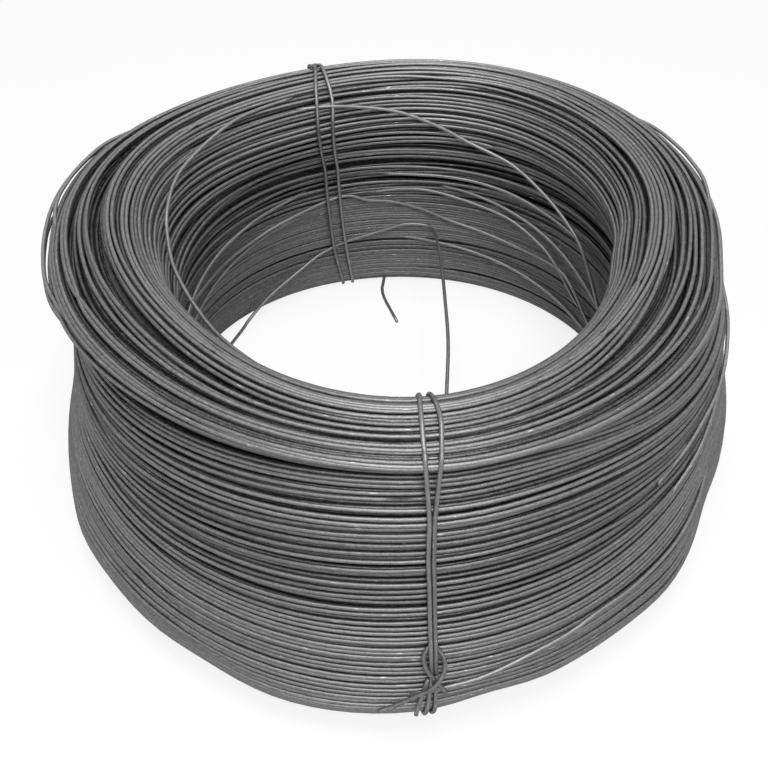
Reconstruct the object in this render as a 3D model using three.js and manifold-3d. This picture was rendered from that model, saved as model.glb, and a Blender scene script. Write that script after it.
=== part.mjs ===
// Coil of soft annealed steel wire: many loosely wound turns in one thick ring, bound
// across its section with two ties of the same wire, each folded double.
// Millimetres, +Z up. The origin is on the floor in the middle of the bore.

import * as THREE from "three";
import { mergeVertices } from "three/addons/utils/BufferGeometryUtils.js";
import Module from "manifold-3d";

// ---- driving dimensions ----------------------------------------------------------------

const wireDiameter = 1.2;
const fittingGap = 0.4; // air between a tie and the turns it holds

// the ring's section, from the floor up
const coilHeight = 92;
const bottomBoreRadius = 79.3;
const topBoreRadius = 69.4;
const bottomOuterRadius = 105.3;
const bulgeRadius = 111.3; // where the lower turns have slumped outwards
const bulgeHeight = 11;
const flankRadius = 103.6; // halfway up the outer side
const shoulderRadius = 102.1; // the last turns below the waist
const waistRadius = 96.9; // the loose gap below the uppermost bundle
const rimRadius = 101.6; // the uppermost bundle, which overhangs the waist
const crownRadius = 83.3; // where the ring is highest

// the uppermost bundle, measured down from the crown
const rimDrop = 11;
const lipDrop = 7.4;
const throatDrop = 16.6;
const waistDrop = 19.3;
const shoulderDrop = 29.4;
const bundleShift = [-3, -2.2]; // it has slid sideways on the turns below

// In front the bundle is thinner: its rim draws in and the waist below it rises.
const thinning = [-160, -90]; // the azimuths between which it gets thinner
const thickening = [-76, -14];
const rimDraw = 7;
const waistRise = 13;

// At the right the waist is full.
const filling = [-76, -40]; // the azimuths between which it fills up
const emptying = [60, 110];
const waistFullness = 4.6;

// How far the ring has settled out of round: cosine and sine of two, three and more swells
// round it, in the lower turns and in the uppermost bundle.
const lowerSwells = [[-2.9, 2.3], [0.2, 1.8]];
const upperSwells = [[-2.4, 1.9], [-2.3, 2.3], [0.7, -0.3]];
const ringCentre = [-0.35, 2.77]; // the ring's axis, seen from the middle of the whole coil

// the turns that show on the two ends
const turnPitch = 2.1;
const turnGroove = 0.55;
const crestShares = [0.28, 0.72];
const ringSegments = 40;

// the ties
const tieSides = 6;
const tieStep = 3;
const tiePair = 1.6; // between the two strands where they lie together
const tieSpread = 4.3; // between the two strands over the rim
const knotHeight = 13.6;
const loopLength = 16;
const loopWidth = 4.9;
const hookRise = 4.4; // how far the tails come up through the loop
const frontTie = {
  name: "front_tie",
  azimuth: -86,
  lean: 1.2,
  tails: [
    { reach: -14, fall: 9.5, level: 1.2 },
    { reach: 2.4, fall: 9.5, level: 0.3 },
  ],
};
const backTie = {
  name: "back_tie",
  azimuth: 112.5,
  lean: -7,
  tails: [
    { reach: -3.2, fall: 5, level: 3.4 },
    { reach: 3.8, fall: 7, level: 1 },
  ],
};

// Turns that hang loose in the bore: [azimuth, distance off the wall, height]. A distance
// below zero is inside the ring, where the turn joins the rest.
const looseStep = 5.5;
const looseSides = 6;
const rimTurn = [
  [122, -1.2, 88], [129, 0.8, 89], [137, 2, 89.4], [148, 2.1, 87.7], [158, 2.1, 86],
  [165, 2.2, 84.6], [175, 2.4, 82.6], [182, 2.4, 80], [192, 3.1, 78], [205, 4, 77.5],
  [219, 3.6, 76.7], [229, 2.6, 77], [240, 1, 78], [250, -1.2, 78],
];
const rightTurn = [
  [107, -1.2, 85.4], [100, 1.1, 84.2], [89, 1.8, 81.8], [78, 2.2, 77.2], [69, 2.4, 72.2],
  [58, 2.6, 67.6], [48, 2.6, 60.9], [40, 2.6, 54.9], [33, 2.6, 48.9], [28, 2.4, 40],
  [25, 1.9, 31], [23, 0.9, 22], [21, -1.2, 14],
];
const middleTurn = [
  [176, -1.2, 37], [166, 1.5, 40.5], [149, 1.5, 39.6], [137, 1.5, 40.5], [128, 1.5, 42.3],
  [118, -0.9, 44.2], [104, -0.9, 45.6], [97, 1.4, 43.2], [85, 1.5, 39.3], [75, 1.5, 34.3],
  [66, 1.5, 31.6], [55, 1.5, 29.2], [43, 1.5, 29], [37, 1.5, 24.5], [31, 1, 16], [29, -1.2, 8],
];
const shortTurn = [
  [94, -1.2, 47.4], [85, 0.9, 48], [78, 1.3, 46.8], [67, 1.5, 44.1], [58, 1.5, 41.4],
  [49, 1.5, 35.5], [43, 1.5, 29.4], [38, 0.8, 21], [36, -1.2, 14],
];
// This one comes off the wall on to the floor at one end, in [x, y, height] from the ring's
// axis, climbs the far wall, leaves it at a sharp kink and crosses the bore.
const crossingFoot = [
  [-77.5, 6, 1.8], [-74, 13, 1.1], [-69, 23, 0.9], [-64, 33, 0.9], [-60, 42.5, 0.9],
  [-56, 52, 1.9],
];
const crossingRise = [
  [130, 2, 8.5], [120, 1.8, 15.3], [113, -0.9, 19.4], [103, -0.9, 24.8], [97, 1.6, 27.6],
  [89, 2, 31.2], [83, 2, 31.4],
];
const crossingSpan = [
  [12.4, 69.3, 31.8], [13.1, 62, 33.2], [14.3, 48, 34.5], [15.7, 4, 35.5], [14.8, -18, 36],
  [13.2, -50, 37], [11.5, -74, 38], [11.2, -80.5, 38.4],
];
// and this is the wire's free end, on the floor of the bore
const freeEnd = [
  [-5.6, 84.5, 2.6], [-5.5, 79.5, 1.3], [-6.5, 73.5, 0.9], [-3.8, 63.5, 0.9], [-0.5, 54.3, 1.1],
];

const wireMaterial = new THREE.MeshStandardMaterial({
  color: 0x66676a,
  roughness: 0.45,
  metalness: 0.9,
});
const tieMaterial = wireMaterial.clone();

// ---- shared helpers --------------------------------------------------------------------

const wasm = await Module();
wasm.setup();

function toSolid(geometry) {
  const bare = geometry.clone();
  bare.deleteAttribute("normal");
  bare.deleteAttribute("uv");
  const merged = mergeVertices(bare, 1e-4);
  return new wasm.Manifold(new wasm.Mesh({
    numProp: 3,
    vertProperties: new Float32Array(merged.attributes.position.array),
    triVerts: new Uint32Array(merged.index.array),
  }));
}

function toGeometry(solid) {
  const mesh = solid.getMesh();
  const geometry = new THREE.BufferGeometry();
  geometry.setAttribute("position", new THREE.BufferAttribute(mesh.vertProperties, 3));
  geometry.setIndex(new THREE.BufferAttribute(mesh.triVerts, 1));
  geometry.computeVertexNormals();
  return geometry;
}

const share = (value, low, high) => THREE.MathUtils.clamp((value - low) / (high - low), 0, 1);
const ease = THREE.MathUtils.smoothstep;
const between = THREE.MathUtils.lerp;
const point = (radius, height) => new THREE.Vector2(radius, height);

// a place given by azimuth, distance from the axis, offset across the radius, and height
function around(azimuth, radius, across, height) {
  const angle = THREE.MathUtils.degToRad(azimuth);
  return new THREE.Vector3(
    radius * Math.cos(angle) - across * Math.sin(angle),
    radius * Math.sin(angle) + across * Math.cos(angle),
    height,
  );
}

function wireAlong(curve, sides, step) {
  const section = new THREE.Shape();
  section.absarc(0, 0, wireDiameter / 2, 0, 2 * Math.PI);
  return new THREE.ExtrudeGeometry(section, {
    extrudePath: curve,
    steps: Math.round(curve.getLength() / step),
    curveSegments: sides / 2,
  });
}

// ---- how the ring has settled ----------------------------------------------------------

const shoulderHeight = coilHeight - shoulderDrop;
const waistHeight = coilHeight - waistDrop;

function swellAt(azimuth, swells) {
  const angle = THREE.MathUtils.degToRad(azimuth);
  return swells.reduce((sum, [cosine, sine], index) => {
    const turned = (index + 2) * angle;
    return sum + cosine * Math.cos(turned) + sine * Math.sin(turned);
  }, 0);
}

// Where a point of the round ring lies once the ring has settled. The uppermost bundle takes
// over from the lower turns round the waist. In front its rim is drawn in above the waist, and
// the turns round the waist are raised; at the right the waist itself is full.
function settle(azimuth, radius, height) {
  const degrees = THREE.MathUtils.euclideanModulo(azimuth + 180, 360) - 180;
  const thin = ease(degrees, ...thinning) * (1 - ease(degrees, ...thickening));
  const upper = ease(height, waistHeight - rimDrop, waistHeight + 0.3 * rimDrop);
  const swell = between(swellAt(azimuth, lowerSwells), swellAt(azimuth, upperSwells), upper);
  const drawn = share(radius, crownRadius, rimRadius)
    * ease(height, between(shoulderHeight, waistHeight, -0.5), waistHeight);
  const raised = ease(height, coilHeight / 3, shoulderHeight)
    * share(coilHeight - height, 0, coilHeight - between(shoulderHeight, waistHeight, 0.5));
  const filled = ease(degrees, ...filling) * (1 - ease(degrees, ...emptying))
    * share(radius, crownRadius, waistRadius)
    * ease(height, shoulderHeight, waistHeight)
    * (1 - ease(height, waistHeight, coilHeight - rimDrop));
  const outwards = swell - rimDraw * thin * drawn + waistFullness * filled;
  const place = around(azimuth, radius + outwards, 0, height);
  return place.add(new THREE.Vector3(
    upper * bundleShift[0],
    upper * bundleShift[1],
    thin * raised * waistRise,
  ));
}

// ---- the ring's section ----------------------------------------------------------------

const outerSide = new THREE.SplineCurve([
  point(bottomOuterRadius, 0),
  point((bottomOuterRadius + bulgeRadius) / 2, 0.4 * bulgeHeight),
  point(bulgeRadius, bulgeHeight),
  point(between(bulgeRadius, flankRadius, 0.25), between(bulgeHeight, shoulderHeight, 0.25)),
  point(flankRadius, between(bulgeHeight, shoulderHeight, 0.78)),
  point(shoulderRadius, shoulderHeight),
  point(waistRadius, waistHeight),
  point(rimRadius, coilHeight - rimDrop),
]);
const topEnd = new THREE.SplineCurve([
  point(rimRadius, coilHeight - rimDrop),
  point(between(rimRadius, crownRadius, 0.22), coilHeight - 0.54 * rimDrop),
  point(between(rimRadius, crownRadius, 0.67), coilHeight - 0.21 * rimDrop),
  point(crownRadius, coilHeight),
  point(between(crownRadius, topBoreRadius, 0.43), coilHeight - 0.25 * lipDrop),
  point(between(crownRadius, topBoreRadius, 0.83), coilHeight - lipDrop),
]);
const boreSide = new THREE.SplineCurve([
  point(between(crownRadius, topBoreRadius, 0.83), coilHeight - lipDrop),
  point(topBoreRadius, coilHeight - throatDrop),
  point((topBoreRadius + bottomBoreRadius) / 2, (coilHeight - throatDrop) * 0.55),
  point(bottomBoreRadius, 0),
]);
const bottomEnd = new THREE.LineCurve(point(bottomBoreRadius, 0), point(bottomOuterRadius, 0));

// one valley and one flattened crest for each turn along an end of the ring
function ridgedTurns(curve) {
  const count = Math.round(curve.getLength() / turnPitch);
  const points = [];
  for (let turn = 0; turn < count; turn += 1) {
    const valley = curve.getPointAt(turn / count);
    const along = curve.getTangentAt(turn / count);
    points.push(point(valley.x - along.y * turnGroove, valley.y + along.x * turnGroove));
    for (const crest of crestShares) {
      points.push(curve.getPointAt((turn + crest) / count));
    }
  }
  return points;
}

function coilSection() {
  const points = [
    ...outerSide.getSpacedPoints(13).slice(1, -1),
    ...ridgedTurns(topEnd),
    ...boreSide.getSpacedPoints(7).slice(1, -1),
    ...ridgedTurns(bottomEnd),
  ];
  points.push(points[0].clone());
  return points;
}

// the point of a line of points at a height (their y), by the nearest two
function pointAt(points, height) {
  const sorted = [...points].sort((a, b) => a.y - b.y);
  const above = sorted.findIndex((each) => each.y >= height);
  if (above <= 0) return sorted.at(above);
  const [low, high] = [sorted[above - 1], sorted[above]];
  return low.clone().lerp(high, (height - low.y) / (high.y - low.y));
}

// ---- the coil --------------------------------------------------------------------------

const boreWall = [
  ...boreSide.getSpacedPoints(24),
  ...topEnd.getSpacedPoints(24).filter((each) => each.x < crownRadius),
];

function wallPoint([azimuth, standOff, height]) {
  return settle(azimuth, pointAt(boreWall, height).x - standOff, height);
}

function looseWire(places) {
  const curve = new THREE.CatmullRomCurve3(places, false, "centripetal");
  return toSolid(wireAlong(curve, looseSides, looseStep));
}

function looseTurns() {
  const space = (places) => places.map((each) => new THREE.Vector3(...each));
  return [
    ...[rimTurn, rightTurn, middleTurn, shortTurn].map((turn) => turn.map(wallPoint)),
    [...space(crossingFoot), ...crossingRise.map(wallPoint), ...space(crossingSpan)],
    space(freeEnd),
  ].map(looseWire);
}

function settleGeometry(geometry) {
  const place = geometry.attributes.position;
  for (let vertex = 0; vertex < place.count; vertex += 1) {
    const [x, y] = [place.getX(vertex), place.getY(vertex)];
    const azimuth = THREE.MathUtils.radToDeg(Math.atan2(y, x));
    const settled = settle(azimuth, Math.hypot(x, y), place.getZ(vertex));
    place.setXYZ(vertex, settled.x, settled.y, settled.z);
  }
  return geometry;
}

// the turns bend up over each tie where it passes beneath the ring
function tiePassage(tie) {
  const swell = Math.abs(swellAt(tie.azimuth + tie.lean, lowerSwells)) + wireDiameter;
  const inner = Math.min(topBoreRadius, bottomBoreRadius) - swell;
  const outer = Math.max(bulgeRadius, bottomOuterRadius) + swell;
  const width = tiePair + 3.5 * wireDiameter;
  const passage = new THREE.BoxGeometry(outer - inner, width, 2 * passageHeight);
  passage.translate((outer + inner) / 2, 0, 0);
  passage.rotateZ(THREE.MathUtils.degToRad(tie.azimuth + tie.lean));
  return passage;
}

function coilGeometry() {
  const ring = new THREE.LatheGeometry(coilSection(), ringSegments);
  ring.rotateX(Math.PI / 2);
  let solid = toSolid(settleGeometry(ring));
  for (const tie of [frontTie, backTie]) {
    solid = solid.subtract(toSolid(tiePassage(tie)));
  }
  for (const turn of looseTurns()) {
    solid = solid.add(turn);
  }
  return toGeometry(solid);
}

// ---- the ties --------------------------------------------------------------------------

const tieOffset = wireDiameter / 2 + fittingGap; // from the turns to a strand's middle
const tieUnder = wireDiameter / 2 + 0.3; // the strands' height where they pass beneath
const passageHeight = tieUnder + tieOffset + 2 * fittingGap;
const layer = wireDiameter + fittingGap; // from one wire of the knot to the next
// How far a facet of the bore stands in from the true curve: twice a round bore's, since it
// has settled out of round.
const sag = 2 * bottomBoreRadius * (1 - Math.cos(Math.PI / ringSegments));

// a taut wire spans the hollows of the section, so it follows the convex hull
function convexHull(points) {
  const turnsLeft = (a, b, c) => (b.x - a.x) * (c.y - a.y) > (b.y - a.y) * (c.x - a.x);
  const chain = (ordered) => ordered.reduce((kept, next) => {
    while (kept.length > 1 && !turnsLeft(kept.at(-2), kept.at(-1), next)) kept.pop();
    return [...kept, next];
  }, []).slice(0, -1);
  const sorted = [...points].sort((a, b) => a.x - b.x || a.y - b.y);
  return [...chain(sorted), ...chain([...sorted].reverse())];
}

// the same line with more points where they lie far apart
function filledIn(points, spacing) {
  return points.flatMap((each, index) => {
    const next = points[(index + 1) % points.length];
    const count = Math.max(1, Math.round(each.distanceTo(next) / spacing));
    return Array.from({ length: count }, (_, step) => each.clone().lerp(next, step / count));
  });
}

const azimuthAt = (tie, height) => tie.azimuth + tie.lean * (1 - height / coilHeight);

// A point of the section where a tie crosses it: how far out, how high, and in z how far the
// ring has slid aside there.
function crossedAt(tie, { x: radius, y: height }) {
  const settled = settle(azimuthAt(tie, height), radius, height);
  const angle = THREE.MathUtils.degToRad(azimuthAt(tie, settled.z));
  return new THREE.Vector3(
    settled.x * Math.cos(angle) + settled.y * Math.sin(angle),
    settled.z,
    settled.y * Math.cos(angle) - settled.x * Math.sin(angle),
  );
}

// the hull moved outwards by the strand's offset, clockwise from just below the knot
function strandRoute(tie) {
  const hull = convexHull([outerSide, topEnd, boreSide, bottomEnd].flatMap(
    (curve) => curve.getSpacedPoints(16).map((each) => crossedAt(tie, each)),
  ));
  const route = [];
  hull.forEach((corner, index) => {
    const before = hull.at(index - 1);
    const after = hull[(index + 1) % hull.length];
    for (const [from, to] of [[before, corner], [corner, after]]) {
      const along = to.clone().sub(from).normalize();
      const offset = tieOffset + (along.y < 0 ? sag : 0);
      const radius = corner.x + along.y * offset;
      const height = Math.max(corner.y - along.x * offset, tieUnder);
      const last = route.at(-1);
      if (!last || Math.hypot(last.x - radius, last.y - height) > wireDiameter / 2) {
        route.push(new THREE.Vector3(radius, height, corner.z));
      }
    }
  });
  const filled = filledIn(route.reverse(), tieStep);
  const start = filled.findIndex((each, index) => (
    each.x > crownRadius && each.y < knotHeight && filled.at(index - 1).y >= knotHeight
  ));
  return [...filled.slice(start), ...filled.slice(0, start)];
}

function strandSpread(height) {
  const spread = ease(height, 0.42 * coilHeight, coilHeight - rimDrop);
  return between(tiePair, tieSpread, spread) / 2;
}

// The strand comes down to the knot, where its loop stands off the turns. These routes are
// [level above the turns, height, offset across].
function loopRoute(side) {
  const rise = (part) => knotHeight + part * loopLength;
  return [
    [0, rise(1), side * tiePair / 2],
    [0.3, rise(0.58), side * loopWidth / 2],
    [0.8, rise(0.17), side * 0.4 * loopWidth],
  ];
}

// the tail comes up through the loop and is folded back down in front of it
function tailRoute(side, tail) {
  const across = side * tiePair / 2;
  const end = knotHeight - tail.fall;
  const middle = knotHeight - 0.5 * tail.fall;
  return [
    [tail.level, end, tail.reach],
    [(tail.level + 2) / 2, middle, (across + tail.reach) / 2],
    [2, knotHeight - 0.5, across],
    [1.4, knotHeight + 0.85 * hookRise, across],
    [0.4, knotHeight + 0.8 * hookRise, across],
    [0, knotHeight, across],
  ];
}

// the whole tie is one wire: tail, round the ring, the loop, back round the ring, tail
function tieCurve(tie) {
  const strand = strandRoute(tie);
  const outerRoute = strand.filter(({ x, y }) => (
    x > crownRadius && y > tieUnder && y < coilHeight - rimDrop
  ));
  const isHeld = (each, index) => index < strand.length / 2 || each.y > knotHeight + loopLength;
  const place = (out, height, across) => around(azimuthAt(tie, height), out, across, height);
  const placeHeld = (side) => ({ x, y, z }) => place(x, y, z + side * strandSpread(y));
  const placeKnot = ([level, height, across]) => {
    const held = pointAt(outerRoute, height);
    return place(held.x + level * layer, height, held.z + across);
  };
  const half = (side, tail) => [
    ...tailRoute(side, tail).map(placeKnot),
    ...strand.filter(isHeld).map(placeHeld(side)),
    ...loopRoute(side).map(placeKnot),
  ];
  return new THREE.CatmullRomCurve3([
    ...half(-1, tie.tails[0]),
    placeKnot([1, knotHeight, 0]),
    ...half(1, tie.tails[1]).reverse(),
  ], false, "centripetal");
}

// ---- the object ------------------------------------------------------------------------

function namedMesh(name, geometry, material) {
  const mesh = new THREE.Mesh(geometry.translate(...ringCentre, 0), material);
  mesh.name = name;
  return mesh;
}

const coil = new THREE.Group();
coil.add(namedMesh("wire_coil", coilGeometry(), wireMaterial));
for (const tie of [frontTie, backTie]) {
  coil.add(namedMesh(tie.name, wireAlong(tieCurve(tie), tieSides, tieStep), tieMaterial));
}

export default coil;
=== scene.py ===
import math
import bmesh
import bpy
import numpy as np
from mathutils import Matrix, Vector


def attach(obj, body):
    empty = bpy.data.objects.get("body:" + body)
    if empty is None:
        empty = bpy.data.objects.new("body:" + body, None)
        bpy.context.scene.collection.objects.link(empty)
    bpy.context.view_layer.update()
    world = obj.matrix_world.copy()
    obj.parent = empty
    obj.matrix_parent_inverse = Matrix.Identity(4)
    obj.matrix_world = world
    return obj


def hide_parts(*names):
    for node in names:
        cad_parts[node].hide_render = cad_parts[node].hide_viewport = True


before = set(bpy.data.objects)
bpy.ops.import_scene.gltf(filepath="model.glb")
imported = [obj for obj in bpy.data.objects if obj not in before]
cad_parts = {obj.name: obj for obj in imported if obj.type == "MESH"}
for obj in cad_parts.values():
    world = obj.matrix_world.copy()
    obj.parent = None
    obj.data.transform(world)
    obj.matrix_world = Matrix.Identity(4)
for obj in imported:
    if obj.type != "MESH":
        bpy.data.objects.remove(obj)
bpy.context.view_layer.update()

mm = 0.001

# The camera looks down into the bore from in front.
view = {
    "lens": 53.9,
    "sensor": 36.0,
    "nearest": 0.01,        # metres
    "position": (-5.15, -277.63, 279.7),
    "down": 42.93,
    "roll": 1.46,
}

down, roll = math.radians(view["down"]), math.radians(view["roll"])
forward = Vector((0, math.cos(down), -math.sin(down)))
across = Vector((1, 0, 0))
upward = Vector((0, math.sin(down), math.cos(down)))
cameraRight = math.cos(roll) * across + math.sin(roll) * upward
cameraUp = math.cos(roll) * upward - math.sin(roll) * across
cameraData = bpy.data.cameras.new("camera")
cameraData.lens = view["lens"]
cameraData.sensor_width = view["sensor"]
cameraData.clip_start = view["nearest"]
camera = bpy.data.objects.new("camera", cameraData)
turned = Matrix((cameraRight, cameraUp, -forward)).transposed().to_4x4()
camera.matrix_world = Matrix.Translation(Vector(view["position"]) * mm) @ turned
bpy.context.scene.collection.objects.link(camera)
bpy.context.scene.camera = camera
print("camera placed")

# The ring of wire. Lengths are in millimetres, and the section runs from the floor round
# the outer side, over the top and down the bore: (distance from the axis, height).
ring = {
    "wireDiameter": 1.2,
    "height": 92.0,
    "centre": (-0.35, 2.77),        # the ring's axis
    "section": [
        (93, 0), (99.2, 0), (103.4, 0.2), (105.7, 1.4), (108.1, 4.6), (110.6, 8.6),
        (111.3, 12), (110.1, 20), (107.5, 30), (105.2, 40), (103.6, 50), (102.5, 58),
        (101.8, 63), (99.4, 67.8), (97.1, 71.6), (97.9, 75.2), (100.9, 78.6), (101.6, 81.6),
        (100, 84.6), (97, 86.9), (93, 88.8), (88.3, 91), (83.3, 92), (78.8, 91.1),
        (74.8, 88.5), (71.6, 84), (69.6, 77), (70.5, 62), (73, 45), (75.7, 28), (78.1, 12),
        (79, 4.6), (80.1, 1.4), (82.6, 0.2), (87.2, 0),
    ],
    # how far the ring is from round: second to fourth harmonics, cosine then sine
    "lowerSwell": (-2.9, 2.3, 0.2, 1.8),
    "upperSwell": (-2.4, 1.9, -2.3, 2.3, 0.7, -0.3),
    "upperShift": (-3.0, -2.2),
    "changeover": (61.7, 76.0),     # heights between which the upper bundle takes over
    # local swellings: azimuth, height, width in degrees, width in height, outwards
    "swellings": [(-43, 14, 10, 12, 1.7), (-23, 14, 8, 12, -1.6), (-102, 6, 26, 9, 1.9),
                  (-77, 6, 6, 9, -1.6), (-117, 8, 8, 9, -1.4), (-147, 11, 8, 9, 1.2),
                  (-3, 28, 12, 12, 1.3), (-6, 82, 10, 8, -1.2), (-176, 82, 20, 12, -1.4)],
    # the upper bundle is thinner in front: the groove under it rises and its rim draws in
    "thinning": (-160, -90),        # azimuths between which it gets thinner
    "thickening": (-76, -14),
    "grooveRise": 13.0,
    "risingHeights": (30.7, 62.6),
    "grooveHeight": 67.65,
    "rimDraw": 7.0,
    "drawnRadii": (83.3, 101.6),
    "drawnHeights": (57.5, 72.7),
    # the groove is full at the right: it fills between the first two azimuths and empties
    # between the last two
    "filling": (-76, -40, 60, 110),
    "fullness": 4.6,
    "filledHeights": (62.6, 72.7, 81.0),
    "filledRadii": (83.3, 96.9),
    "curveSteps": 24,               # between two points of the section
    "sectionStep": 0.25,
    "tangentRounds": 8,             # how often the section's direction is smoothed
}


def catmullRom(points, perSpan):
    given = np.asarray(points, float)
    padded = np.vstack([2 * given[0] - given[1], given, 2 * given[-1] - given[-2]])
    t = np.linspace(0, 1, perSpan, endpoint=False)[:, None]
    spans = []
    for a, b, c, d in zip(padded[:-3], padded[1:-2], padded[2:-1], padded[3:]):
        spans.append(0.5 * (2 * b + (c - a) * t + (2 * a - 5 * b + 4 * c - d) * t**2
                            + (3 * b - a - 3 * c + d) * t**3))
    return np.vstack([*spans, given[-1:]])


def evenly(points, step):
    length = np.r_[0, np.cumsum(np.linalg.norm(np.diff(points, axis=0), axis=1))]
    count = max(2, int(round(length[-1] / step)) + 1)
    at = np.linspace(0, length[-1], count)
    return np.stack([np.interp(at, length, column) for column in points.T], 1)


def smoothstep(low, high, value):
    share = np.clip((value - low) / (high - low), 0, 1)
    return share * share * (3 - 2 * share)


closedSection = ring["section"] + ring["section"][:1]
sectionLine = evenly(catmullRom(closedSection, ring["curveSteps"]), ring["sectionStep"])
perimeter = np.linalg.norm(np.diff(sectionLine, axis=0), axis=1).sum()
sectionAt = np.linspace(0, perimeter, len(sectionLine))
sectionTangent = np.gradient(sectionLine, axis=0)
for _ in range(ring["tangentRounds"]):
    sectionTangent[1:-1] = (sectionTangent[:-2] + sectionTangent[1:-1]
                            + sectionTangent[2:]) / 3
sectionTangent /= np.linalg.norm(sectionTangent, axis=1)[:, None]
sectionInward = np.stack([-sectionTangent[:, 1], sectionTangent[:, 0]], 1)


def bend(azimuth, radius, height):
    # the place of a point of the round ring once the ring is as lopsided as it is
    upper = smoothstep(*ring["changeover"], height)
    swell = 0
    for share, sizes in ((1 - upper, ring["lowerSwell"]), (upper, ring["upperSwell"])):
        for number, (cosine, sine) in enumerate(zip(sizes[::2], sizes[1::2])):
            turn = (number + 2) * azimuth
            swell = swell + share * (cosine * np.cos(turn) + sine * np.sin(turn))
    degrees = (np.degrees(azimuth) + 180) % 360 - 180
    for centre, level, width, rise, out in ring["swellings"]:
        aside = (degrees - centre + 180) % 360 - 180
        swell = swell + out * np.exp(-(aside / width)**2 - ((height - level) / rise)**2)
    thin = (smoothstep(*ring["thinning"], degrees)
            * (1 - smoothstep(*ring["thickening"], degrees)))
    lift = smoothstep(*ring["risingHeights"], height) * np.clip(
        (ring["height"] - height) / (ring["height"] - ring["grooveHeight"]), 0, 1)
    draw = (np.interp(radius, ring["drawnRadii"], (0, 1))
            * smoothstep(*ring["drawnHeights"], height))
    reach = radius + swell - ring["rimDraw"] * thin * draw
    start, full, fading, end = ring["filling"]
    below, level, above = ring["filledHeights"]
    reach = reach + (ring["fullness"] * np.interp(radius, ring["filledRadii"], (0, 1))
                     * smoothstep(start, full, degrees)
                     * (1 - smoothstep(fading, end, degrees))
                     * smoothstep(below, level, height)
                     * (1 - smoothstep(level, above, height)))
    aside, back = ring["upperShift"]
    return np.stack([reach * np.cos(azimuth) + aside * upper,
                     reach * np.sin(azimuth) + back * upper,
                     height + ring["grooveRise"] * thin * lift], -1)


def onSection(along, depth):
    wrapped = np.mod(along, perimeter)
    place = [np.interp(wrapped, sectionAt, sectionLine[:, axis]) for axis in (0, 1)]
    inward = [np.interp(wrapped, sectionAt, sectionInward[:, axis]) for axis in (0, 1)]
    return place[0] + depth * inward[0], place[1] + depth * inward[1]


# How the wire was wound. Each layer is one length of wire that goes round and round the
# ring while it creeps round the section. Depths are in wire diameters below the surface.
winding = {
    "seed": 11,
    "slices": 132,          # round the ring
    "pitchSteps": 600,      # round the section
    # a layer's pieces are its turns from one number to another
    "layers": [
        {"turns": 162, "depth": 0.5, "sink": 0.0, "dips": 1.0, "sides": 8,
         "pieces": [("outer_turns", 0, 65), ("top_turns", 65, 102),
                    ("bore_turns", 102, 162)]},
        {"turns": 140, "depth": 1.25, "sink": 0.9, "dips": 0.5, "sides": 6,
         "pieces": [("second_outer_turns", 0, 70), ("second_bore_turns", 70, 140)]},
        {"turns": 128, "depth": 2.1, "sink": 0.9, "dips": 0.5, "sides": 6,
         "pieces": [("third_outer_turns", 0, 64), ("third_bore_turns", 64, 128)]},
    ],
    # distance along the section: the pitch of the turns there in mm, how far the layers
    # beneath have sunk away, and how loose the turns lie
    "pitchAt": [(0, 1.5), (12, 1.4), (16, 1.2), (76, 1.22), (84, 1.7), (92, 1.9),
                (124, 1.85), (132, 1.7), (142, 1.8), (149, 2.4), (161, 2.5), (168, 2.1),
                (175, 1.3), (220, 1.2), (232.6, 1.5)],
    "sunkAt": [(0, 0), (12, 0.4), (70, 0.5), (84, 1.2), (120, 1.2), (130, 0.3), (144, 0.3),
               (152, 0.7), (162, 0.6), (172, 0), (232.6, 0)],
    "loosenessAt": [(0, 0.4), (12, 0.5), (20, 0.8), (70, 1), (86, 1.3), (100, 1.7),
                    (126, 1.7), (140, 1.2), (168, 1.1), (178, 0.35), (220, 0.2),
                    (232.6, 0.4)],
    # painted shade: how much darker the turns are painted there, low in the bore and at the
    # foot of the outer side
    "paintedShadeAt": [(0, 0.8), (20, 0.4), (40, 0), (164, 0), (176, 1.7), (225, 1.7),
               (232.6, 0.8)],
    "stray": 1.5,           # mm a turn wanders sideways on its own
    "strayLength": 0.55,    # turns between two changes of course
    "shiver": 0.35,         # share of the stray that comes and goes faster
    "shiverLength": 0.17,
    "sway": 1.6,            # mm that neighbouring turns wander together
    "swayPitch": 11.0,      # mm across the turns that wander together
    "swayWaves": 5,
    "swayFading": 0.8,      # how fast the shorter waves get smaller
    "swaySpread": 1.6,      # what the sum of the waves is divided by
    "held": 0.45,           # share of the wandering left beside a tie
    "heldWithin": (4, 60),  # degrees from a tie between which it comes back
    "tieAzimuths": (-86.0, 112.0),
    "dipLength": 0.7,       # turns between two changes of depth
    "toneLength": 0.8,      # turns between two changes of tone
    "paintedDepthShade": 2.6,         # painted shade: how much darker a wire is painted for each diameter it lies deeper, for the shade between the turns over it
    "paintedShadeDepth": 2.6,     # diameters below which the painted shade gets no darker
    # how the turns settle against each other
    "rounds": 260,
    "sortEvery": 8,         # rounds
    "neighbours": 7,
    "yielding": 0.6,        # share of a push that is followed
    "homingAlong": 0.004,   # share of the way back to where a turn was laid
    "homingDepth": 0.01,
    "straightening": 0.35,
    "leastDistance": 1e-6,  # keeps the division safe
}

rng = np.random.default_rng(winding["seed"])
slices = winding["slices"]
azimuths = np.arange(slices) * 2 * math.pi / slices - math.pi / 2


def smoothNoise(count, spacing):
    values = rng.normal(0, 1, int(count / spacing) + 3)
    at = np.arange(count) / spacing
    low = at.astype(int)
    share = smoothstep(0, 1, at - low)
    return values[low] * (1 - share) + values[low + 1] * share


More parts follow.
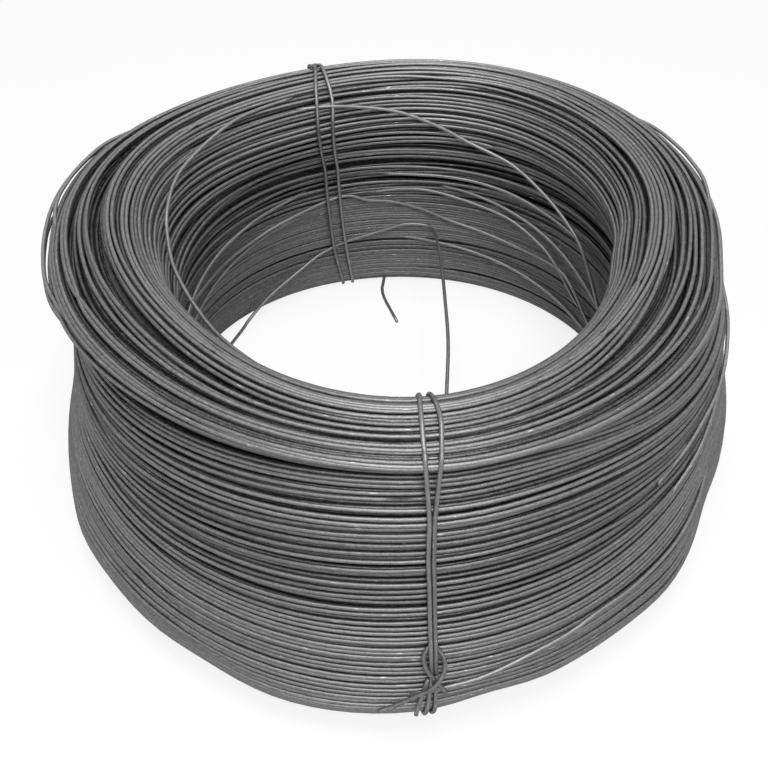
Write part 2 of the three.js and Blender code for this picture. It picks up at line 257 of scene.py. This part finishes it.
def swayField(along):
    field = 0
    for wave in range(1, winding["swayWaves"] + 1):
        knots = int(perimeter / winding["swayPitch"])
        grid = np.linspace(0, perimeter, knots + 1)
        size, phase = rng.normal(0, 1, knots), rng.uniform(0, 2 * math.pi)
        size = np.interp(np.mod(along, perimeter), grid, np.r_[size, size[:1]])
        field = field + (size * np.sin(wave * azimuths[None, :] + phase)
                         / wave**winding["swayFading"])
    return winding["sway"] * field / winding["swaySpread"]


def steadyTurns(turns):
    # each slice of each turn in its place along the section, as the pitch there asks
    at, pitch = np.array(winding["pitchAt"], float).T
    fine = np.linspace(0, perimeter, winding["pitchSteps"])
    passed = np.r_[0, np.cumsum(1 / np.interp((fine[1:] + fine[:-1]) / 2, at, pitch))]
    share = np.arange(turns * slices) / (turns * slices)
    return np.interp(share, passed / passed[-1], fine).reshape(turns, slices)


def givenAlong(name, along):
    at, amount = np.array(winding[name], float).T
    return np.interp(np.mod(along, perimeter), at, amount)


def looseness(along):
    nearest = np.min([np.abs((np.degrees(azimuths) - tie + 180) % 360 - 180)
                      for tie in winding["tieAzimuths"]], axis=0)
    held = winding["held"]
    free = held + (1 - held) * smoothstep(*winding["heldWithin"], nearest)
    return free * givenAlong("loosenessAt", along)


def laidTurns():
    # where the turns of each layer would lie if they passed through each other
    homes, depths, edges = [], [], [0]
    for layer in winding["layers"]:
        turns = layer["turns"]
        count = turns * slices
        steady = steadyTurns(turns)
        alone = smoothNoise(count, winding["strayLength"] * slices)
        shiver = smoothNoise(count, winding["shiverLength"] * slices)
        alone = alone + winding["shiver"] * shiver
        home = steady + looseness(steady) * (
            winding["stray"] * alone.reshape(turns, slices) + swayField(steady))
        dip = smoothNoise(count, winding["dipLength"] * slices)
        dip = np.maximum(0, dip) * layer["dips"]
        sunk = layer["sink"] * givenAlong("sunkAt", home)
        below = layer["depth"] + sunk + dip.reshape(turns, slices)
        homes.append(home)
        depths.append(ring["wireDiameter"] * below)
        edges.append(edges[-1] + turns)
    return np.vstack(homes), np.vstack(depths), edges


def pushes(along, depth, order):
    # how far wires that overlap in a slice push each other, along the section and in depth
    sortedAlong = np.take_along_axis(np.mod(along, perimeter), order, 0)
    sortedDepth = np.take_along_axis(depth, order, 0)
    pushAlong, pushDepth = np.zeros_like(along), np.zeros_like(along)
    for step in range(1, winding["neighbours"] + 1):
        gap = np.roll(sortedAlong, -step, 0) - sortedAlong
        gap = gap - perimeter * np.round(gap / perimeter)
        drop = np.roll(sortedDepth, -step, 0) - sortedDepth
        distance = np.hypot(gap, drop) + winding["leastDistance"]
        push = 0.5 * np.clip(ring["wireDiameter"] - distance, 0, None) / distance
        pushAlong -= push * gap
        pushDepth -= push * drop
        pushAlong += np.roll(push * gap, step, 0)
        pushDepth += np.roll(push * drop, step, 0)
    moveAlong, moveDepth = np.empty_like(along), np.empty_like(along)
    np.put_along_axis(moveAlong, order, pushAlong, 0)
    np.put_along_axis(moveDepth, order, pushDepth, 0)
    return moveAlong, moveDepth


def windRing():
    home, homeDepth, edges = laidTurns()
    along, depth = home.copy(), homeDepth.copy()
    for count in range(winding["rounds"]):
        if count % winding["sortEvery"] == 0:
            order = np.argsort(np.mod(along, perimeter), axis=0)
        moveAlong, moveDepth = pushes(along, depth, order)
        along += (winding["yielding"] * moveAlong
                  + winding["homingAlong"] * (home - along))
        depth += (winding["yielding"] * moveDepth
                  + winding["homingDepth"] * (homeDepth - depth))
        for low, high in zip(edges[:-1], edges[1:]):
            for values in (along, depth):
                line = values[low:high].reshape(-1)
                line[1:-1] += winding["straightening"] * (
                    0.5 * (line[:-2] + line[2:]) - line[1:-1])
        depth = np.clip(depth, ring["wireDiameter"] / 2, None)
    return [(along[low:high], depth[low:high]) for low, high in zip(edges[:-1], edges[1:])]


def wireMesh(name, lines, sides, tonesAndPaintedLight=None):
    # lines of points in millimetres become round wires, each with its own length along it
    curve = bpy.data.curves.new(name, "CURVE")
    curve.dimensions = "3D"
    curve.bevel_depth = ring["wireDiameter"] / 2 * mm
    curve.bevel_resolution = sides // 2 - 2
    for line in lines:
        spline = curve.splines.new("POLY")
        spline.points.add(len(line) - 1)
        placed = line + (*ring["centre"], 0)
        placed[:, 2] = np.maximum(placed[:, 2], ring["wireDiameter"] / 2)
        spline.points.foreach_set("co", np.c_[placed * mm, np.ones(len(line))].ravel())
    holder = bpy.data.objects.new(name + "_path", curve)
    mesh = bpy.data.meshes.new_from_object(holder)
    bpy.data.objects.remove(holder)
    bpy.data.curves.remove(curve)
    mesh.name = name
    shape = bmesh.new()
    shape.from_mesh(mesh)
    bmesh.ops.holes_fill(shape, edges=[edge for edge in shape.edges if edge.is_boundary])
    shape.to_mesh(mesh)
    shape.free()
    mesh.shade_smooth()
    corners = np.concatenate([np.repeat(
        np.r_[0, np.cumsum(np.linalg.norm(np.diff(line, axis=0), axis=1))], sides
    ) for line in lines])
    turned = np.tile(np.arange(sides) * 2 * math.pi / sides, len(corners) // sides)
    wireSpace = np.stack([corners, np.cos(turned), np.sin(turned)], 1)
    # each line's tone is random, or as given, where it carries painted shade and painted
    # light
    if tonesAndPaintedLight is None:
        tonesAndPaintedLight = [np.full(len(line), rng.normal(0, 1)) for line in lines]
    tone = np.repeat(np.concatenate(tonesAndPaintedLight), sides)
    assert len(mesh.vertices) == len(tone), name
    mesh.attributes.new("wireSpace", "FLOAT_VECTOR", "POINT").data.foreach_set(
        "vector", wireSpace.ravel())
    mesh.attributes.new("tone", "FLOAT", "POINT").data.foreach_set("value", tone)
    piece = bpy.data.objects.new(name, mesh)
    bpy.context.scene.collection.objects.link(piece)
    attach(piece, "root")
    return piece


def ringPiece(name, layer, low, high, sides):
    along, depth = layer
    count = (high - low) * slices + (0 if high == len(along) else 1)
    path = slice(low * slices, low * slices + count)
    azimuth = np.arange(path.start, path.stop) * 2 * math.pi / slices - math.pi / 2
    along, depth = along.ravel()[path], depth.ravel()[path]
    radius, height = onSection(along, depth)
    # painted shade: turns that lie deeper are painted darker in their tone
    buried = np.clip(depth / ring["wireDiameter"] - 0.5, 0, winding["paintedShadeDepth"])
    tone = smoothNoise(count, winding["toneLength"] * slices) - winding["paintedDepthShade"] * buried
    # painted shade: turns low in the bore and at the foot of the outer side are painted
    # darker
    tone = tone - givenAlong("paintedShadeAt", along)
    piece = wireMesh(name, [bend(azimuth, radius, height)], sides, [tone])
    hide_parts("wire_coil")
    return piece


wound = windRing()
print("ring wound")
ringPieces = []
for layer, plan in zip(wound, winding["layers"]):
    for name, low, high in plan["pieces"]:
        ringPieces.append(ringPiece(name, layer, low, high, plan["sides"]))
print("turns made")

# The turns further in are one plain ring.
innerTurns = {
    "inset": 4.8,           # mm under the surface
    "sectionEvery": 14,     # one point of the section in so many
    "steps": 96,            # round the ring
}


def makeCore(name):
    shape = bmesh.new()
    every = innerTurns["sectionEvery"]
    shell = sectionLine[:-1:every] + innerTurns["inset"] * sectionInward[:-1:every]
    loop = [shape.verts.new((0, radius * mm, height * mm)) for radius, height in shell]
    edges = [shape.edges.new(pair) for pair in zip(loop, loop[1:] + loop[:1])]
    bmesh.ops.spin(shape, geom=loop + edges, cent=(0, 0, 0), axis=(0, 0, 1),
                   angle=2 * math.pi, steps=innerTurns["steps"], use_merge=True)
    bmesh.ops.recalc_face_normals(shape, faces=shape.faces)
    # the operators list the faces in another order each time, so they are put in one
    shape.verts.index_update()
    count = len(shape.verts)
    shape.faces.sort(key=lambda face: (min(vert.index for vert in face.verts) * count
                                       + max(vert.index for vert in face.verts)))
    for vert in shape.verts:
        x, y, z = vert.co / mm
        bent = bend(math.atan2(y, x), math.hypot(x, y), z) + (*ring["centre"], 0)
        vert.co = Vector(bent) * mm
    mesh = bpy.data.meshes.new(name)
    shape.to_mesh(mesh)
    shape.free()
    mesh.shade_smooth()
    piece = bpy.data.objects.new(name, mesh)
    bpy.context.scene.collection.objects.link(piece)
    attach(piece, "root")
    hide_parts("wire_coil")
    return piece


core = makeCore("inner_turns")
print("core made")


def onRing(places):
    # (azimuth in degrees, distance along the section, gap under the wire) to a point
    azimuth, along, gap = np.array(places, float).T
    radius, height = onSection(along, -gap - ring["wireDiameter"] / 2)
    return bend(np.radians(azimuth), radius, height)


# Turns that have come loose. Each point is an azimuth, a distance along the section and the
# gap under the wire; below zero the turn is back among the others.
looseTurns = {
    "step": 3.0,
    "sides": 10,
    "curveSteps": 12,
    "tone": 1.6,            # painted light: they are painted brighter, as they lie out in the light
    "rim": [(118, 128, -1.8), (127, 129, -0.6), (136.6, 130.2, 0.8), (147.6, 132.6, 1.3),
            (157.8, 134.4, 1.4), (165.4, 135.9, 1.6), (174.6, 138, 1.8), (182, 140.5, 1.8),
            (192, 142, 2.5), (205, 142.8, 3.4), (219, 143.8, 3), (229.5, 143.6, 2),
            (240, 142.5, 0.4), (250, 142, -1.8)],
    "right": [(118, 132.5, -1.8), (112, 133.4, -0.5), (107.6, 134.1, 0.2), (98, 136.2, 0.7),
              (88.6, 138.6, 1.2), (78, 142.8, 1.6), (69.4, 147.6, 1.8), (58, 152.1, 2),
              (48.6, 158.7, 2), (40, 164.7, 2), (33.2, 170.7, 2), (28.2, 179.7, 1.8),
              (25, 189, 1.3), (23, 198, 0.3), (21, 206, -1.6)],
    "middle": [(178, 185, -1.6), (172, 181, -0.3), (165.6, 179.4, 0.9), (148.8, 180.3, 0.9),
               (137, 179.4, 0.9), (128, 177.6, 0.9), (113.8, 175.2, -0.3),
               (105.8, 173.7, -0.3), (99.8, 176.1, 0.9), (93.2, 177.3, 0.9),
               (85, 180.6, 0.9), (75.6, 185.7, 0.9), (66.6, 188.4, 0.9), (55.2, 190.8, 0.9),
               (43, 191.1, 0.9), (37.2, 195.6, 0.9), (32, 204, 0.5), (28, 213, -1.2)],
    "short": [(99, 174.5, -1.6), (91.4, 172.8, -0.5), (85, 171.9, 0.3), (77.8, 173.1, 0.7),
              (67.6, 175.8, 0.9), (58.4, 178.5, 0.9), (49, 184.5, 0.9), (43, 190.6, 1),
              (38.5, 199, 0.4), (36, 206, -1.4)],
    # this one comes off the floor, climbs the wall, leaves it at a kink and crosses the
    # bore; its foot and its span are plain x, y, height
    "crossingFoot": [(-76, 8, 1.5), (-70, 16, 0.8), (-66, 26, 0.7), (-63.5, 33.9, 0.8),
                     (-61.8, 37.8, 0.8), (-60.1, 42.4, 0.8), (-58, 47.4, 1.0),
                     (-55.9, 52.5, 1.8)],
    "crossing": [(129.8, 211.8, 1.4), (119.6, 204.6, 1.2), (114, 201.2, 0),
                 (109, 198.4, -0.3), (104.5, 195.6, 0.5), (102.6, 194.7, 0.9),
                 (95.2, 191.4, 1.4), (88.6, 188.4, 1.4), (82.6, 188.7, 1.4)],
    "crossingSpan": [(11.6, 72, 31.2), (13.1, 66.5, 31.8), (13.1, 61.2, 34),
                     (14.3, 48.5, 34.5), (15.2, 25.3, 35), (15.7, 3.9, 35.5),
                     (14.8, -18.1, 36), (12.8, -52, 37), (11, -74, 37.5), (10, -80, 37)],
    "freeEnd": [(-5.2, 86, 4.6), (-5.6, 82, 2.2), (-6, 78.5, 1.1), (-6.5, 73.5, 0.7),
                (-5.4, 68, 0.7), (-3.8, 63.5, 0.7), (-0.5, 54.3, 0.8)],
    "outer": [
        [(-88, 29, -1.6), (-85.5, 30.2, -0.4), (-83.6, 31.2, 0.1), (-78.4, 32.4, 0.3),
         (-71.6, 35.6, 0.5), (-65.2, 37.2, 0.6), (-60.4, 38.8, 0.6), (-52.4, 38.8, 0.5),
         (-42, 39.2, 0.3), (-31.8, 40.4, 0), (-22, 42, -1.6)],
        [(148, 101, -2.8), (158, 101, -0.2), (166, 100.6, 0.4), (174, 100.2, 0.7),
         (182, 99.6, 0.6), (190, 99, 0.3), (198, 98.6, -0.4), (210, 98.4, -2.8)],
        [(144, 104, -2.8), (156, 103.8, -0.2), (164, 103.4, 0.3), (171, 102.8, 0.5),
         (178, 102.2, 0.1), (190, 101.8, -2.8)],
        [(166, 99.5, -2.8), (178, 98, -0.2), (186, 97.4, 0.4), (194, 97, 0.3),
         (202, 96.5, -0.4), (214, 95.5, -2.8)],
        [(44, 105, -2.8), (35, 104, -0.4), (28, 103.4, 0.2), (22, 102.6, 0.3),
         (15, 101.6, -0.3), (2, 100.6, -2.8)],
        [(0, 83, -1.4), (-8, 79.5, -0.3), (-14, 77, 0.3), (-20, 74, 0.9), (-26, 71, 1.0),
         (-32, 68, 0.3), (-38, 65, -0.4), (-46, 62, -1.4)],
        [(-10, 70, -1.4), (-18, 67, 0), (-26, 63, 0.4), (-34, 58.5, 0.3), (-42, 54, -1.2)],
    ],
    "bore": [
        [(204, 190, -1.8), (192, 186, -0.3), (180, 182, 0.4), (166, 177, 0.5),
         (152, 173.5, 0.5), (138, 171, 0.4), (128, 170, -0.3), (118, 169, -1.8)],
        [(198, 207, -1.8), (188, 202, -0.3), (177, 196.5, 0.4), (165, 191, 0.5),
         (151, 186, 0.5), (138, 182.5, 0.3), (128, 181, -0.4), (118, 180, -1.8)],
        [(80, 171, -1.8), (70, 172, -0.3), (60, 174.5, 0.4), (50, 178.5, 0.5),
         (40, 184, 0.5), (30, 191, 0.3), (22, 197, -0.4), (12, 203, -1.8)],
        [(92, 197, -1.8), (82, 198, -0.3), (70, 200, 0.4), (58, 203, 0.5), (46, 207, 0.4),
         (34, 212, -0.1), (24, 217, -1.8)],
        [(96, 166, -1.8), (88, 165.4, -0.2), (78, 165, 0.4), (68, 165.4, 0.5),
         (58, 167, 0.3), (48, 170, -0.3), (38, 174, -1.8)],
    ],
}


loose = [onRing(looseTurns[name]) for name in ("rim", "right", "middle", "short")]
loose += [onRing(turn) for turn in looseTurns["outer"] + looseTurns["bore"]]
loose.append(np.vstack([looseTurns["crossingFoot"], onRing(looseTurns["crossing"]),
                        looseTurns["crossingSpan"]]))
loose.append(np.array(looseTurns["freeEnd"], float))
loose = [evenly(catmullRom(points, looseTurns["curveSteps"]), looseTurns["step"])
         for points in loose]
# painted light: the loose turns are painted brighter in their tone
loosePiece = wireMesh("loose_turns", loose, looseTurns["sides"],
                      [np.full(len(line), looseTurns["tone"]) for line in loose])
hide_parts("wire_coil")
ringPieces.append(loosePiece)

# A tie is one doubled strand round the section. Each row is the distance along the section,
# the azimuth of the pair's middle, half the distance between the two, and the gap under
# them. The loop that draws the strands together, and its tails, are (azimuth, distance
# along the section, gap).
ties = {
    "front_tie": {
        "pair": [
            (36, -85.0, 0.6, 0.1), (40, -85.1, 0.6, 0.7), (44.8, -85.2, 0.6, 1.3),
            (49, -85.3, 0.6, 0.5), (55, -85.5, 0.6, 0.1), (60, -85.7, 0.6, 0.1),
            (66, -86.0, 0.62, 0.1), (71, -86.1, 0.62, 0.2), (76, -86.1, 0.65, 0.7),
            (102, -84.3, 1.85, 0.2), (106, -84.2, 1.98, 0.1), (110, -84.15, 2.07, 0.1),
            (115, -84.05, 2.15, 0.1), (119, -84.0, 2.12, 0.1), (123, -84.0, 1.97, 0.2),
            (127, -84.0, 1.7, 0.3), (131, -84.0, 1.35, 0.2), (136, -84.0, 1.2, 0.1),
            (142, -84.0, 1.2, 0.1), (150, -84.2, 1.2, 0.1), (170, -84.6, 1.2, 0.3),
            (190, -85.0, 1.2, 0.3), (205, -85.3, 1.2, 0.2), (215, -85.6, 1.2, 0.1),
            (219, -85.6, 1.1, 0.1), (222, -85.6, 1.0, 0.0), (227, -85.6, 1.0, -0.9),
            (232.6, -85.6, 1.0, -0.9), (238, -85.5, 0.9, -0.9), (243, -85.5, 0.9, -0.5),
            (247, -85.4, 0.95, 0.0), (252, -85.3, 1.0, 0.1), (257, -85.2, 1.0, 0.1),
            (262, -85.1, 0.8, 0.1), (268.6, -85.0, 0.6, 0.1),
        ],
        "loop": [
            (-83.5, 30.6, 1.3), (-83.8, 31.8, 1.2), (-84.5, 34.0, 1.2), (-85.2, 36.2, 1.4),
            (-85.9, 38.4, 1.1), (-86.3, 40.6, 0.9), (-86.4, 42.6, 0.6), (-86.1, 44.6, 0.3),
            (-85.6, 45.8, 0.05), (-85.0, 45.6, 0.05), (-84.4, 44.2, 0.3),
            (-83.8, 42.0, 0.7),
            (-83.6, 39.6, 1.1), (-83.9, 37.2, 1.8), (-84.6, 35.2, 2.5), (-85.5, 33.4, 2.5),
            (-86.6, 31.6, 1.8), (-87.8, 29.8, 1.1), (-89.2, 27.8, 0.7), (-90.6, 26.2, 0.5),
            (-92.0, 25.2, 0.6),
        ],
        "stub": [(-85.7, 35.0, 0.2), (-86.1, 32.4, 0.5), (-86.5, 29.6, 0.6),
                 (-86.9, 26.8, 0.9), (-87.2, 24.2, 1.3)],
    },
    "back_tie": {
        "pair": [
            (36, 104.6, 0.62, 0.1), (40, 104.7, 0.62, 0.7), (44.8, 104.8, 0.62, 1.3),
            (49, 104.9, 0.62, 0.5), (55, 105.2, 0.62, 0.1), (60, 105.4, 0.62, 0.1),
            (66, 105.8, 0.66, 0.1), (71, 106.1, 0.7, 0.2), (76, 106.5, 0.75, 0.5),
            (100, 107.6, 0.9, 0.2), (105, 107.9, 0.95, 0.1), (110, 108.1, 1.0, 0.2),
            (114, 108.3, 1.05, 0.3), (118, 108.6, 1.2, 0.4), (122, 109.1, 1.6, 0.4),
            (126, 109.6, 2.2, 0.3), (130, 109.9, 2.7, 0.2), (134, 110.2, 2.9, 0.1),
            (141, 110.8, 2.75, 0.1), (151, 111.2, 2.45, 0.2), (160, 111.1, 2.3, 0.5),
            (168, 110.6, 2.3, 0.9), (184, 109.0, 2.3, 0.9), (198, 107.5, 2.3, 0.9),
            (212, 105.5, 2.05, 0.2), (217, 104.8, 1.95, 0.1), (221, 104.3, 1.8, 0.0),
            (227, 104.1, 1.4, -0.9), (232.6, 104.0, 1.2, -0.9), (238, 104.0, 1.0, -0.9),
            (243, 104.1, 0.95, -0.5), (247, 104.2, 0.95, 0.0), (252, 104.3, 1.0, 0.1),
            (257, 104.4, 1.0, 0.1), (262, 104.5, 0.9, 0.1), (268.6, 104.6, 0.62, 0.1),
        ],
        "loop": [
            (102.4, 31.4, 1.6), (103.2, 33.0, 1.3), (104.0, 34.8, 1.3), (104.8, 36.6, 1.4),
            (105.5, 38.6, 1.1), (105.8, 40.8, 0.9), (105.8, 42.8, 0.6), (105.4, 44.8, 0.3),
            (104.9, 45.8, 0.05), (104.3, 45.6, 0.05), (103.8, 44.2, 0.3),
            (103.4, 42.2, 0.7),
            (103.3, 39.8, 1.1), (103.7, 37.4, 1.8), (104.5, 35.4, 2.5), (105.4, 33.6, 2.4),
            (106.4, 32.0, 1.7), (107.3, 30.2, 1.2), (108.0, 28.2, 1.2), (108.4, 26.2, 1.6),
        ],
        "stub": [(104.2, 35.0, 0.2), (103.9, 32.4, 0.5), (103.7, 29.8, 0.6),
                 (103.4, 27.2, 0.9), (103.0, 24.8, 1.3)],
    },
}
tieWire = {"step": 1.1, "sides": 12, "curveSteps": 12}


def tieLines(tie):
    along, azimuth, half, gap = np.array(tie["pair"], float).T
    lines = []
    for side in (-1, 1):
        radius, height = onSection(along, -gap - ring["wireDiameter"] / 2)
        turned = np.radians(azimuth) + side * half / radius
        lines.append(bend(turned, radius, height))
    return [*lines, onRing(tie["loop"]), onRing(tie["stub"])]


tiePieces = []
for name, tie in ties.items():
    lines = [evenly(catmullRom(points, tieWire["curveSteps"]), tieWire["step"])
             for points in tieLines(tie)]
    piece = wireMesh(name + "_wire", lines, tieWire["sides"])
    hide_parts(name)
    tiePieces.append(piece)
print("ties made")


class Value:
    def __init__(self, tree, socket):
        self.tree, self.socket = tree, socket

    def math(self, operation, first, second):
        node = self.tree.nodes.new("ShaderNodeMath")
        node.operation = operation
        for slot, value in zip(node.inputs, (first, second)):
            plug(self.tree, slot, value)
        return Value(self.tree, node.outputs[0])

    def __add__(self, other): return self.math("ADD", self, other)
    def __radd__(self, other): return self.math("ADD", other, self)
    def __sub__(self, other): return self.math("SUBTRACT", self, other)
    def __rsub__(self, other): return self.math("SUBTRACT", other, self)
    def __mul__(self, other): return self.math("MULTIPLY", self, other)
    def __rmul__(self, other): return self.math("MULTIPLY", other, self)


def plug(tree, slot, value):
    if isinstance(value, Value):
        tree.links.new(value.socket, slot)
    else:
        slot.default_value = value


class Finish:
    def __init__(self, owner):
        owner.use_nodes = True
        self.owner, self.tree = owner, owner.node_tree
        self.tree.nodes.clear()

    def node(self, kind, settings=None, output=0, **inputs):
        made = self.tree.nodes.new("ShaderNode" + kind)
        for key, value in (settings or {}).items():
            if key == "stops":
                ramp = made.color_ramp
                while len(ramp.elements) < len(value):
                    ramp.elements.new(0.5)
                for element, (place, grey) in zip(ramp.elements, value):
                    element.position, element.color = place, (grey, grey, grey, 1)
            else:
                setattr(made, key, value)
        for key, value in inputs.items():
            # _0 is a socket by its number, and other underscores are spaces in its name
            byNumber = key[1:].isdigit()
            slot = made.inputs[int(key[1:]) if byNumber else key.replace("_", " ")]
            plug(self.tree, slot, value)
        if made.outputs:
            return Value(self.tree, made.outputs[output])


# The bare annealed steel: a dull grey with drawn streaks, faint mottling, grain and small
# bright nicks. Sizes are in millimetres.
steel = {
    "grey": 0.19,
    "coreShadeShare": 0.4,           # painted shade: the plain ring's grey, as a share of the wire's, for the shade deep in the winding
    "blueness": 1.015,
    "toneSpread": 0.02,         # how much a tone of 1 brightens
    "mottleSize": 1.6,
    "streakSize": 0.35,
    "grainSize": 0.4,
    "nickSize": 1.1,
    "streakStretch": (0.12, 1.0, 1.0),      # along the wire, then round it
    "nickStretch": (0.3, 1.4, 1.4),
    "coreStretch": (300, 300, 300),         # its pattern is in metres, not in millimetres
    # what the grey is multiplied by: a fixed part and the share of each pattern
    "fixed": -0.15,
    "mottle": 0.6,
    "streak": 0.8,
    "grain": 1.0,
    "nickStops": [(0.0, 0.0), (0.68, 0.0), (0.76, 1.0)],
    "nickGlint": 0.3,
    "metallic": 0.8,
    "edgeTint": 0.4,
    "roughness": 0.39,
    "mottleRoughness": 0.22,
    "nickPolish": 0.12,
    "bumpStrength": 0.45,
    "bumpHeight": 0.08,
    "bumpGrain": 0.7,
}


def steelFinish(name, grey, onWire=True):
    finish = Finish(bpy.data.materials.new(name))
    node = finish.node
    place = node("TexCoord", output=3)
    space = place
    if onWire:
        space = node("Attribute", {"attribute_name": "wireSpace"}, output=1)
    stretch = steel["streakStretch"] if onWire else steel["coreStretch"]
    stretched = node("VectorMath", {"operation": "MULTIPLY"}, _0=space, _1=stretch)
    streak = node("TexNoise", Vector=stretched, Scale=1 / steel["streakSize"], Detail=3.0,
                  Roughness=0.6)
    mottle = node("TexNoise", Vector=place, Scale=1 / (steel["mottleSize"] * mm),
                  Detail=2.0, Roughness=0.65)
    grain = node("TexNoise", Vector=place, Scale=1 / (steel["grainSize"] * mm), Detail=2.0)
    stretch = steel["nickStretch"] if onWire else steel["coreStretch"]
    stretched = node("VectorMath", {"operation": "MULTIPLY"}, _0=space, _1=stretch)
    nick = node("TexNoise", Vector=stretched, Scale=1 / steel["nickSize"], Detail=2.0)
    bright = node("ValToRGB", {"stops": steel["nickStops"]}, Fac=nick)
    value = grey * (steel["fixed"] + steel["mottle"] * mottle + steel["streak"] * streak
                    + steel["grain"] * grain) + steel["nickGlint"] * bright
    if onWire:
        # the tone holds each wire's random tone, with painted shade on deeper and lower
        # turns and painted light on loose ones
        tone = node("Attribute", {"attribute_name": "tone"}, output=2)
        value = value + steel["toneSpread"] * tone
    shade = node("CombineColor", Red=value, Green=value, Blue=value * steel["blueness"])
    rough = (steel["roughness"] + steel["mottleRoughness"] * mottle
             - steel["nickPolish"] * bright)
    bump = node("Bump", Strength=steel["bumpStrength"], Distance=steel["bumpHeight"] * mm,
                Height=streak + steel["bumpGrain"] * grain)
    edge = steel["edgeTint"]
    skin = node("BsdfPrincipled", Base_Color=shade, Metallic=steel["metallic"],
                Roughness=rough, Normal=bump, Specular_Tint=(edge, edge, edge, 1))
    node("OutputMaterial", Surface=skin)
    return finish.owner


wireSteel = steelFinish("annealed_steel", steel["grey"])
# painted shade: the plain ring under the turns is painted darker than the wire
coreSteel = steelFinish("shadowed_steel", steel["coreShadeShare"] * steel["grey"], onWire=False)
for piece in ringPieces + tiePieces:
    piece.data.materials.append(wireSteel)
core.data.materials.append(coreSteel)
print("steel finished")

# The room: a floor and a surround that are seen as white, and three soft lamps.
room = {
    "floorReach": 6.0,      # metres from the middle
    "floorGrey": 0.7,       # what the lamps light
    "floorGlow": 0.75,      # share of the floor that is seen which needs no lamp
    "floorWhite": 1.09,     # strength of that share
    "surround": 0.1,        # light from all round, which is seen as 1
    "aim": (0, 0, 0.04),
    "lamps": [
        # position in metres, size, power in watts
        ((0.0, 0.75, 0.85), 0.8, 0.9),
        ((0.0, -0.1, 1.05), 0.4, 6.3),
        ((0.1, -0.7, 0.95), 0.4, 6.9),
    ],
}


def seenShare(finish):
    # 1 for what the camera sees, itself or in metal or glass
    return (finish.node("LightPath") + finish.node("LightPath", output=3)
            + finish.node("LightPath", output=6))


def makeRoom():
    floorShape = bmesh.new()
    bmesh.ops.create_grid(floorShape, x_segments=1, y_segments=1, size=room["floorReach"])
    mesh = bpy.data.meshes.new("floor")
    floorShape.to_mesh(mesh)
    floorShape.free()
    floor = bpy.data.objects.new("floor", mesh)
    bpy.context.scene.collection.objects.link(floor)
    # the lit share of the floor keeps the shadow
    paint = Finish(bpy.data.materials.new("floor_white"))
    seen = seenShare(paint)
    grey = room["floorGrey"]
    plain = paint.node("BsdfDiffuse", Color=(grey, grey, grey, 1))
    glow = paint.node("Emission", Color=(1, 1, 1, 1), Strength=room["floorWhite"])
    skin = paint.node("MixShader", Fac=room["floorGlow"] * seen, _1=plain, _2=glow)
    paint.node("OutputMaterial", Surface=skin)
    mesh.materials.append(paint.owner)

    world = bpy.data.worlds.new("surround")
    bpy.context.scene.world = world
    sky = Finish(world)
    strength = room["surround"] + (1 - room["surround"]) * seenShare(sky)
    light = sky.node("Background", Color=(1, 1, 1, 1), Strength=strength)
    sky.node("OutputWorld", Surface=light)

    for number, (position, size, power) in enumerate(room["lamps"]):
        lampData = bpy.data.lights.new(f"lamp{number}", "AREA")
        lampData.size, lampData.energy = size, power
        lamp = bpy.data.objects.new(f"lamp{number}", lampData)
        aim = (Vector(room["aim"]) - Vector(position)).to_track_quat("-Z", "Y")
        lamp.matrix_world = Matrix.Translation(position) @ aim.to_matrix().to_4x4()
        bpy.context.scene.collection.objects.link(lamp)


makeRoom()
bpy.context.scene.view_settings.view_transform = "Standard"
print("room lit")
